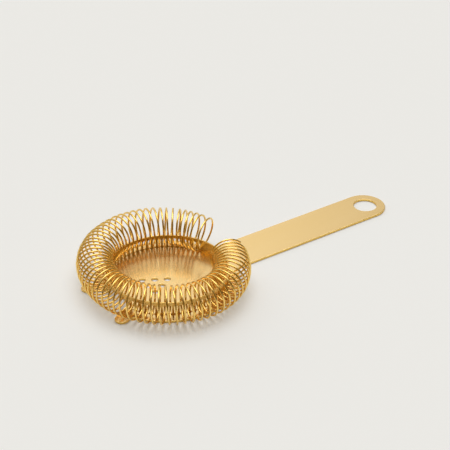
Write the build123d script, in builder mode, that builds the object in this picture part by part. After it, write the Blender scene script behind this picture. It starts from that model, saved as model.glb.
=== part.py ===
"""Hawthorne strainer: a flat plate with a handle, a slotted hoop on it, and a coil bent round the hoop.

Origin: centre of the disc, on the plate's underside. +X runs along the handle, +Z is the coil's side.
"""
from build123d import *
import os
from math import acos, cos, degrees, hypot, radians, sin, sqrt, tan

os.makedirs("parts", exist_ok=True)

# Hoop: a low ring of thin sheet that stands on the disc. Its size sets the disc's and the coil's.
hoop_radius = 32.2              # outside
hoop_wall = 0.8
hoop_rim = 1.9                  # its top edge above the slots
hoop_edge_round = 0.3
window_bridge = 1.6             # height of the strip left above the window
window_corner_radius = 1.0
window_turns = 7                # turns that pass through the window instead of a slot

# Plate: one flat sheet with the disc, the handle and the two tabs
plate_thickness = 1.2
disc_margin = 5.3               # disc's edge outside the hoop
handle_reach = 143.0            # disc's centre to the handle's tip
handle_width = 23.4
handle_root_radius = 3.0        # where the handle's edges run into the disc
hang_hole_diameter = 13.0
hang_hole_inset = 11.0          # handle's tip to the hole's centre
tab_overhang = 12.4             # a tab's tip outside the hoop
tab_width = 7.2
tab_angle = 24.0                # from the front of the disc, to each side
tab_root_radius = 1.5
notch_depth = 4.8               # how far the pouring notch reaches in from the hoop
notch_corner_radius = 2.0
edge_break = 0.2
drain_hole_diameter = 3.4
drain_hole_pitch = 6.5
drain_hole_rows = 3             # one hole, two holes, three holes, towards the front

# Coil: one wire, wound through the hoop's slots and back over its top edge
wire_diameter = 1.0
coil_diameter = 20.1            # over the wire
coil_outset = 3.8               # middle of the coil outside the hoop, on average
coil_forward = 2.3              # how much more that is at the front, and less at the handle
coil_spread = 2.1               # how much more it is at the two sides, and less at the front and the handle
coil_spread_turn = 8.0          # degrees that the wide way of the coil is turned from square to the handle
turn_count = 63
coil_opening = 50.0             # degrees from the last slot round to the first, over the handle
lead_in = 0.80                  # turns of wire before the first slot
lead_out = 0.62                 # turns of wire after the last slot
free_end_lean = 11.0            # degrees that the wire's first end leans over the handle
arcs_per_turn = 4

# Clearances that let the coil hang loose in the hoop
coil_rest_gap = 0.25            # plate to the underside of the coil
slot_sill = 0.15                # plate to the foot of a slot
slot_side_gap = 0.375           # wire to each side of its slot
slot_head_gap = 0.25            # wire to the top of a slot where it is highest, when the coil is lifted
coil_lift = 0.3                 # how far the coil can rise

# Worked out from the sizes above
disc_radius = hoop_radius + disc_margin
notch_floor_radius = hoop_radius - notch_depth
handle_end_radius = handle_width / 2
handle_straight = handle_reach - handle_end_radius
tab_straight = hoop_radius + tab_overhang - tab_width / 2
coil_radius = (coil_diameter - wire_diameter) / 2
coil_height = plate_thickness + coil_rest_gap + coil_diameter / 2
hoop_inner_radius = hoop_radius - hoop_wall
hoop_middle_radius = hoop_radius - hoop_wall / 2
first_turn_angle = coil_opening / 2
turn_pitch = (360 - coil_opening) / (turn_count - 1)


def turn_angle(turns):
    """Where a turn stands, in degrees round the ring from the handle's middle."""
    return first_turn_angle + turn_pitch * turns


def ring_radius(angle):
    """Distance from the disc's centre to the middle of the coil, at an angle round the ring."""
    spread = coil_spread * cos(radians(2 * (angle + coil_spread_turn)))
    return hoop_radius + coil_outset - coil_forward * cos(radians(angle)) - spread


def crossing_angle(angle):
    """Where the wire crosses the hoop's wall, as an angle round the coil's own section."""
    return 180 + degrees(acos((ring_radius(angle) - hoop_middle_radius) / coil_radius))


def wire_point(turns):
    """A point on the wire's centre line. At each whole number of turns it is in a slot."""
    lean = free_end_lean * max(-turns / lead_in, 0) ** 2
    around = turn_angle(turns) - lean
    section = radians(crossing_angle(around) - 360 * turns)
    reach = ring_radius(around) + coil_radius * cos(section)
    height = coil_height + coil_radius * sin(section)
    return Vector(reach * cos(radians(around)), reach * sin(radians(around)), height)


# The slots clear the wire where it crosses the hoop's inner face at its highest
highest_crossing = max(
    coil_height - sqrt(coil_radius**2 - (ring_radius(angle) - hoop_inner_radius) ** 2)
    for angle in (turn_angle(turn) for turn in range(turn_count))
)
slot_foot = plate_thickness + slot_sill
slot_top = highest_crossing + wire_diameter / 2 + coil_lift + slot_head_gap
slot_width = wire_diameter + 2 * slot_side_gap
hoop_top = slot_top + hoop_rim

# The window takes the place of the slots nearest the front
window_first = round((180 - first_turn_angle) / turn_pitch) - window_turns // 2
window_last = window_first + window_turns - 1
window_angle = (turn_angle(window_first) + turn_angle(window_last)) / 2
window_width = 2 * hoop_middle_radius * sin(radians(window_turns * turn_pitch / 2))
window_top = hoop_top - window_bridge

# ---------------------------------------------------------------- strainer plate
with BuildSketch() as pouring_notch:
    # Its sides carry on the tabs' inner edges, so they would meet at a point on the plate's middle line
    meeting_x = -tab_width / 2 / sin(radians(tab_angle))
    mouth_x = meeting_x - disc_radius
    mouth_y = disc_radius * tan(radians(tab_angle))
    Polygon((meeting_x, 0), (mouth_x, mouth_y), (mouth_x, -mouth_y), align=None)
    Circle(notch_floor_radius, mode=Mode.SUBTRACT)
    fillet(pouring_notch.vertices().sort_by(Axis.X)[-2:], radius=notch_corner_radius)

with BuildSketch() as plate_outline:
    Circle(disc_radius)
    add(pouring_notch.sketch, mode=Mode.SUBTRACT)
    with Locations((handle_straight / 2, 0)):
        Rectangle(handle_straight, handle_width)
    handle_roots = plate_outline.vertices().filter_by(lambda v: 0 < v.X < disc_radius)
    fillet(handle_roots, radius=handle_root_radius)
    with Locations((handle_straight, 0)):
        Circle(handle_end_radius)
    with PolarLocations(0, 2, start_angle=180 - tab_angle, angular_range=2 * tab_angle, endpoint=True):
        with Locations((tab_straight / 2, 0)):
            Rectangle(tab_straight, tab_width)
        with Locations((tab_straight, 0)):
            Circle(tab_width / 2)
    on_rim = plate_outline.vertices().filter_by(lambda v: abs(hypot(v.X, v.Y) - disc_radius) < 1e-3)
    fillet(on_rim.filter_by(lambda v: v.X < 0), radius=tab_root_radius)

with BuildPart() as strainer_plate:
    with BuildSketch():
        add(plate_outline.sketch)
        with Locations((handle_reach - hang_hole_inset, 0)):
            Circle(hang_hole_diameter / 2, mode=Mode.SUBTRACT)
        for row in range(drain_hole_rows):
            with Locations((-row * drain_hole_pitch * sqrt(3) / 2, 0)):
                with GridLocations(drain_hole_pitch, drain_hole_pitch, 1, row + 1):
                    Circle(drain_hole_diameter / 2, mode=Mode.SUBTRACT)
    extrude(amount=plate_thickness)
    flat_faces = strainer_plate.faces().filter_by(Axis.Z)
    fillet(flat_faces.edges(), radius=edge_break)

# ---------------------------------------------------------------- hoop
def wall_plane(angle, height):
    """A plane on the hoop's wall that faces outwards. Its X runs up the wall and its Y along it."""
    out = Vector(cos(radians(angle)), sin(radians(angle)), 0)
    return Plane(origin=out * hoop_middle_radius + Vector(0, 0, height), x_dir=Vector(0, 0, 1), z_dir=out)


with BuildPart() as coil_hoop:
    with BuildSketch(Plane.XY.offset(plate_thickness)):
        Circle(hoop_radius)
        Circle(hoop_inner_radius, mode=Mode.SUBTRACT)
    extrude(amount=hoop_top - plate_thickness)
    fillet(coil_hoop.faces().sort_by(Axis.Z)[-1].edges(), radius=hoop_edge_round)

    for turn in range(turn_count):
        if not window_first <= turn <= window_last:
            with BuildSketch(wall_plane(turn_angle(turn), (slot_foot + slot_top) / 2)):
                SlotOverall(slot_top - slot_foot, slot_width)
            extrude(amount=hoop_wall, both=True, mode=Mode.SUBTRACT)

    with BuildSketch(wall_plane(window_angle, plate_thickness)) as window:
        Rectangle(2 * (window_top - plate_thickness), window_width)
        fillet(window.vertices().group_by(Axis.Z)[-1], radius=window_corner_radius)
    extrude(amount=notch_depth, both=True, mode=Mode.SUBTRACT)

# ---------------------------------------------------------------- coil
with BuildPart() as coil_spring:
    wire_start = -lead_in
    wire_turns = lead_in + turn_count - 1 + lead_out
    arc_count = round(wire_turns * arcs_per_turn)
    arc_turns = wire_turns / arc_count
    with BuildLine() as wire_path:
        for arc in range(arc_count):
            start = wire_start + arc * arc_turns
            ThreePointArc(wire_point(start), wire_point(start + arc_turns / 2), wire_point(start + arc_turns))
    with BuildSketch(Plane(origin=wire_path.line @ 0, z_dir=wire_path.line % 0)):
        Circle(wire_diameter / 2)
    sweep()

for piece, name in (
    (strainer_plate, "strainer_plate"),
    (coil_hoop, "coil_hoop"),
    (coil_spring, "coil_spring"),
):
    piece.part.label = name
    export_step(piece.part, f"parts/{name}.step")
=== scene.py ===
"""Looks of a gold hawthorne strainer: satin plate, slotted hoop and bright wire coil, on a pale floor."""

import math
import random

import bpy
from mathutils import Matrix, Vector


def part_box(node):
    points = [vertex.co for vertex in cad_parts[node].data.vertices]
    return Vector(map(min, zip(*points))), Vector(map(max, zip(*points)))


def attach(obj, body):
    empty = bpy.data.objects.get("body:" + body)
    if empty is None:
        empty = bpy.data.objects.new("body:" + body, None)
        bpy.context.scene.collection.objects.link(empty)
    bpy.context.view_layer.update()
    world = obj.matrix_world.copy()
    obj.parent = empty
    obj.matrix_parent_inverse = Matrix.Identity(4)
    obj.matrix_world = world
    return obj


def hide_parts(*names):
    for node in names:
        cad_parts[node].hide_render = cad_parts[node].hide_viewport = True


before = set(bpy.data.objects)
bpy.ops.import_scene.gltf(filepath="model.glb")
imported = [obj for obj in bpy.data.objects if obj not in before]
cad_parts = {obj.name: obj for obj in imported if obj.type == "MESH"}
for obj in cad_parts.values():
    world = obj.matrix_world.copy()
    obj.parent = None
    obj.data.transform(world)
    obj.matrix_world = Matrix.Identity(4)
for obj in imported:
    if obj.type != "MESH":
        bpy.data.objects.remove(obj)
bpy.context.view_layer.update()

MM = 0.001

# ------------------------------------------------------------------ sizes, from the frame where it has them
_, coil_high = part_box("coil_spring")
_, hoop_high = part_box("coil_hoop")
plate_low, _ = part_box("strainer_plate")

hoop_wall = 0.8 * MM
hoop_radius = hoop_high.y
hoop_middle_radius = hoop_radius - hoop_wall / 2

wire_diameter = 1.0 * MM
coil_diameter = 20.1 * MM                                 # over the wire
coil_radius = (coil_diameter - wire_diameter) / 2
coil_settle = 0.08 * MM                                   # how much lower the wire sits in its slots
coil_height = coil_high.z - coil_diameter / 2 - coil_settle
coil_outset = 3.8 * MM                                    # middle of the coil outside the hoop
coil_forward = 2.3 * MM                                   # more at the front, less at the handle
coil_spread = 2.1 * MM                                    # more at the sides, less at front and handle
coil_spread_turn = 8.0                                    # degrees
turn_count = 63
turn_pitch = 5.0                                          # degrees round the ring
first_turn_angle = 25.0                                   # from the handle's middle
lead_in = 0.80                                            # turns of wire before the first slot
lead_out = 0.62                                           # turns of wire after the last slot
free_end_lean = 11.0                                      # degrees that the first end leans over the handle
sway = 0.40 * MM                                          # how far a turn strays along the ring
swell = 0.15 * MM                                         # how much flatter a turn is, on average
points_per_turn = 40
wire_sides = 12
floor_gap = 0.05 * MM                                     # plate to the floor

camera_azimuth = -34.73                                   # degrees, 0 looks along +Y
camera_elevation = 31.31
camera_distance = 0.7234
camera_aim = Vector((0.0330, -0.0046, 0.0247))
focal_length = 112.0                                      # on a 36 mm sensor


# ------------------------------------------------------------------ shader helpers
class Number:
    """A number that runs through a material's nodes, so that maths on it is written as an expression."""

    def __init__(self, finish, socket):
        self.finish = finish
        self.socket = socket

    def _maths(self, operation, first, second):
        return self.finish.node("ShaderNodeMath", {"operation": operation}, {0: first, 1: second})

    def __add__(self, other):
        return self._maths("ADD", self, other)

    def __rsub__(self, other):
        return self._maths("SUBTRACT", other, self)

    def __mul__(self, other):
        return self._maths("MULTIPLY", self, other)

    __radd__ = __add__
    __rmul__ = __mul__

    def clamped(self):
        return self.finish.node("ShaderNodeClamp", {}, {"Value": self})


class Tree:
    """A node tree. node() adds any node to it."""

    def __init__(self, tree):
        self.tree = tree

    def node(self, kind, settings, inputs, output=0):
        made = self.tree.nodes.new(kind)
        for name, value in settings.items():
            setattr(made, name, value)
        for name, value in inputs.items():
            self._feed(made.inputs[name], value)
        return Number(self, made.outputs[output])

    def _feed(self, socket, value):
        if isinstance(value, Number):
            self.tree.links.new(value.socket, socket)
        else:
            socket.default_value = value


class Finish(Tree):
    """One material. out() sends values to the surface's own sockets."""

    def __init__(self, name, **constants):
        self.material = bpy.data.materials.new(name)
        self.material.use_nodes = True
        super().__init__(self.material.node_tree)
        self.surface = self.tree.nodes["Principled BSDF"]
        for socket, value in constants.items():
            self.surface.inputs[socket.replace("_", " ")].default_value = value

    def out(self, **values):
        for socket, value in values.items():
            self._feed(self.surface.inputs[socket.replace("_", " ")], value)
        return self.material

    def place(self, stretch):
        """Object coordinates, stretched."""
        here = self.node("ShaderNodeTexCoord", {}, {}, "Object")
        return self.node("ShaderNodeMapping", {}, {"Vector": here, "Scale": stretch})

    def noise(self, stretch, detail=3.0, roughness=0.5):
        """Noise with so many cells a metre along X, Y and Z."""
        return self.node(
            "ShaderNodeTexNoise", {},
            {"Vector": self.place(stretch), "Scale": 1.0, "Detail": detail, "Roughness": roughness},
        )

    def blend(self, factor, first, second):
        return self.node(
            "ShaderNodeMix", {"data_type": "RGBA"}, {"Factor": factor, 6: first, 7: second}, 2
        )

    def bump(self, height, strength, distance):
        return self.node(
            "ShaderNodeBump", {}, {"Height": height, "Strength": strength, "Distance": distance}
        )


# ------------------------------------------------------------------ finishes
GOLD = (0.94, 0.67, 0.28, 1)
DEEP_GOLD = (0.88, 0.58, 0.12, 1)
PALE_GOLD = (0.96, 0.71, 0.34, 1)
WIRE_GOLD = (0.97, 0.69, 0.25, 1)


def satin_sheet():
    """Gold-coloured sheet with a fine brushed grain along the handle, rougher sheared edges, and painted
    shade: its side faces and hole walls are coloured deeper gold.
    """
    finish = Finish("satin_gold_sheet", Metallic=1.0)
    grain = finish.noise((90, 5200, 5200), 4.0, 0.6)
    broad = finish.noise((12, 60, 60), 2.0)
    facing = finish.node("ShaderNodeNewGeometry", {}, {}, "Normal")
    upright = finish.node("ShaderNodeSeparateXYZ", {}, {"Vector": facing}, "Z")
    # faces that don't face up: rougher and sheared, which is real, and also darkened as painted shade
    shear_and_side_shade = (1.0 - upright * upright).clamped()
    shear = finish.noise((2600, 2600, 160), 3.0, 0.6)
    colour = finish.blend(broad, GOLD, PALE_GOLD)
    # painted shade: side faces and hole walls are coloured deeper gold
    colour = finish.blend(shear_and_side_shade * 0.8, colour, DEEP_GOLD)
    rough = 0.19 + grain * 0.06 + broad * 0.05 + shear_and_side_shade * 0.10
    height = grain + shear_and_side_shade * shear * 2.0
    return finish.out(Base_Color=colour, Roughness=rough, Normal=finish.bump(height, 0.25, 0.02 * MM))


def hoop_sheet():
    """Smoother gold-coloured sheet, with its grain along the hoop."""
    finish = Finish("gold_hoop_sheet", Metallic=1.0)
    grain = finish.noise((300, 300, 4200), 3.0, 0.6)
    tone = finish.noise((140, 140, 140), 2.0)
    colour = finish.blend(tone, GOLD, DEEP_GOLD)
    return finish.out(Base_Color=colour, Roughness=0.22 + grain * 0.10,
                      Normal=finish.bump(grain, 0.2, 0.02 * MM))


def drawn_wire():
    """Bright drawn wire, a little uneven in tone."""
    finish = Finish("bright_gold_wire", Metallic=1.0)
    tone = finish.noise((220, 220, 220), 2.0)
    grain = finish.noise((5000, 5000, 5000), 3.0, 0.6)
    colour = finish.blend(tone, WIRE_GOLD, DEEP_GOLD)
    return finish.out(Base_Color=colour, Roughness=0.20 + tone * 0.08,
                      Normal=finish.bump(grain, 0.12, 0.01 * MM))


def pale_floor():
    finish = Finish("pale_floor", Roughness=0.9, Specular_IOR_Level=0.0)
    tone = finish.noise((2, 2, 2), 2.0)
    colour = finish.blend(tone, (0.862, 0.880, 0.885, 1), (0.867, 0.885, 0.890, 1))
    return finish.out(Base_Color=colour)


def give(piece, material):
    piece.data.materials.clear()
    piece.data.materials.append(material)


# ------------------------------------------------------------------ coil
def smooth_random(seed):
    """A gentle random curve through one value from -1 to 1 for each turn."""
    draw = random.Random(seed)
    values = [draw.uniform(-1, 1) for _ in range(turn_count + 4)]

    def at(turns):
        place = max(turns, -1) + 1
        whole = int(place)
        part = place - whole
        part = part * part * (3 - 2 * part)
        return values[whole] * (1 - part) + values[whole + 1] * part

    return at


def ring_radius(angle):
    """Distance from the disc's centre to the middle of the coil, at an angle round the ring."""
    spread = coil_spread * math.cos(math.radians(2 * (angle + coil_spread_turn)))
    return hoop_radius + coil_outset - coil_forward * math.cos(math.radians(angle)) - spread


def coil_line():
    """Points along the wire. It is exact in the hoop's slots and a little uneven away from them."""
    strays = smooth_random(3)
    swells = smooth_random(11)
    points = []
    total = lead_in + turn_count - 1 + lead_out
    steps = round(total * points_per_turn)
    for step in range(steps + 1):
        turns = -lead_in + total * step / steps
        away = (1 - math.cos(2 * math.pi * turns)) / 2     # 0 in the slot, 1 across from it
        lean = free_end_lean * max(-turns / lead_in, 0) ** 2
        around = first_turn_angle + turn_pitch * turns - lean
        radius = coil_radius - swell * away * (1 + swells(turns))
        crossing = math.pi + math.acos((ring_radius(around) - hoop_middle_radius) / radius)
        section = crossing - 2 * math.pi * turns
        reach = ring_radius(around) + radius * math.cos(section)
        height = coil_height + radius * math.sin(section)
        around = math.radians(around) + sway * away * strays(turns) / hoop_radius
        points.append(Vector((reach * math.cos(around), reach * math.sin(around), height)))
    return points


def wire_along(name, points, diameter, sides):
    """A tube of round wire along a line of points, closed at both ends."""
    curve = bpy.data.curves.new(name, "CURVE")
    curve.dimensions = "3D"
    curve.bevel_depth = diameter / 2
    curve.bevel_resolution = (sides - 4) // 2
    curve.use_fill_caps = True
    spline = curve.splines.new("POLY")
    spline.points.add(len(points) - 1)
    for point, place in zip(spline.points, points):
        point.co = (*place, 1)
    spline.use_smooth = True
    bent = bpy.data.objects.new(name + "_line", curve)
    mesh = bpy.data.meshes.new_from_object(bent)
    bpy.data.objects.remove(bent)
    piece = bpy.data.objects.new(name, mesh)
    bpy.context.scene.collection.objects.link(piece)
    return piece


def make_coil():
    coil = wire_along("wire_coil", coil_line(), wire_diameter, wire_sides)
    give(coil, drawn_wire())
    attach(coil, "coil")
    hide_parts("coil_spring")


# ------------------------------------------------------------------ stage
def make_stage():
    bpy.ops.mesh.primitive_plane_add(size=8, location=(0, 0, plate_low.z - floor_gap))
    floor = bpy.context.object
    floor.name = "floor"
    give(floor, pale_floor())


def sun(name, azimuth, elevation, strength, spread):
    """A soft far light. It shines from that azimuth, as a camera there would look, and that elevation."""
    lamp = bpy.data.lights.new(name, "SUN")
    lamp.energy = strength
    lamp.angle = math.radians(spread)
    light = bpy.data.objects.new(name, lamp)
    light.rotation_euler = (math.radians(90 - elevation), 0, math.radians(azimuth))
    bpy.context.scene.collection.objects.link(light)


def towards(azimuth, elevation):
    """The direction in which a camera at that azimuth and elevation stands."""
    azimuth = math.radians(azimuth)
    elevation = math.radians(elevation)
    return Vector((
        math.sin(azimuth) * math.cos(elevation),
        -math.cos(azimuth) * math.cos(elevation),
        math.sin(elevation),
    ))


def make_light():
    """A dim warm studio with a broad pale panel behind, darker to the right, and a soft lamp overhead."""
    world = bpy.data.worlds.new("studio")
    world.use_nodes = True
    studio = Tree(world.node_tree)
    outward = studio.node("ShaderNodeTexCoord", {}, {}, "Generated")
    near_panel = studio.node(
        "ShaderNodeVectorMath", {"operation": "DOT_PRODUCT"},
        {0: outward, 1: towards(camera_azimuth + 185, 52)}, "Value",
    )
    to_the_right = studio.node(
        "ShaderNodeVectorMath", {"operation": "DOT_PRODUCT"},
        {0: outward, 1: towards(camera_azimuth + 90, 0)}, "Value",
    )
    panel = studio.node(
        "ShaderNodeMapRange", {"interpolation_type": "SMOOTHSTEP"},
        {"Value": near_panel, "From Min": 0.20, "From Max": 0.85},
    )
    fall_off = studio.node(
        "ShaderNodeMapRange", {"interpolation_type": "SMOOTHSTEP"},
        {"Value": to_the_right, "From Min": -0.03, "From Max": 0.26, "To Min": 1.0, "To Max": 0.32},
    )
    colour = studio.node(
        "ShaderNodeMix", {"data_type": "RGBA"},
        {"Factor": panel * fall_off, 6: (0.14, 0.095, 0.03, 1), 7: (0.94, 0.925, 0.905, 1)}, 2,
    )
    studio.tree.links.new(colour.socket, world.node_tree.nodes["Background"].inputs["Color"])
    bpy.context.scene.world = world
    sun("softbox", camera_azimuth + 150, 77, 1.58, 54)


def make_camera():
    lens = bpy.data.cameras.new("camera")
    lens.lens = focal_length
    lens.sensor_width = 36
    camera = bpy.data.objects.new("camera", lens)
    camera.location = camera_aim + towards(camera_azimuth, camera_elevation) * camera_distance
    camera.rotation_euler = (math.radians(90 - camera_elevation), 0, math.radians(camera_azimuth))
    bpy.context.scene.collection.objects.link(camera)
    bpy.context.scene.camera = camera


make_camera()
give(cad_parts["strainer_plate"], satin_sheet())
give(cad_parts["coil_hoop"], hoop_sheet())
make_coil()
make_stage()
make_light()
bpy.context.scene.view_settings.view_transform = "Standard"
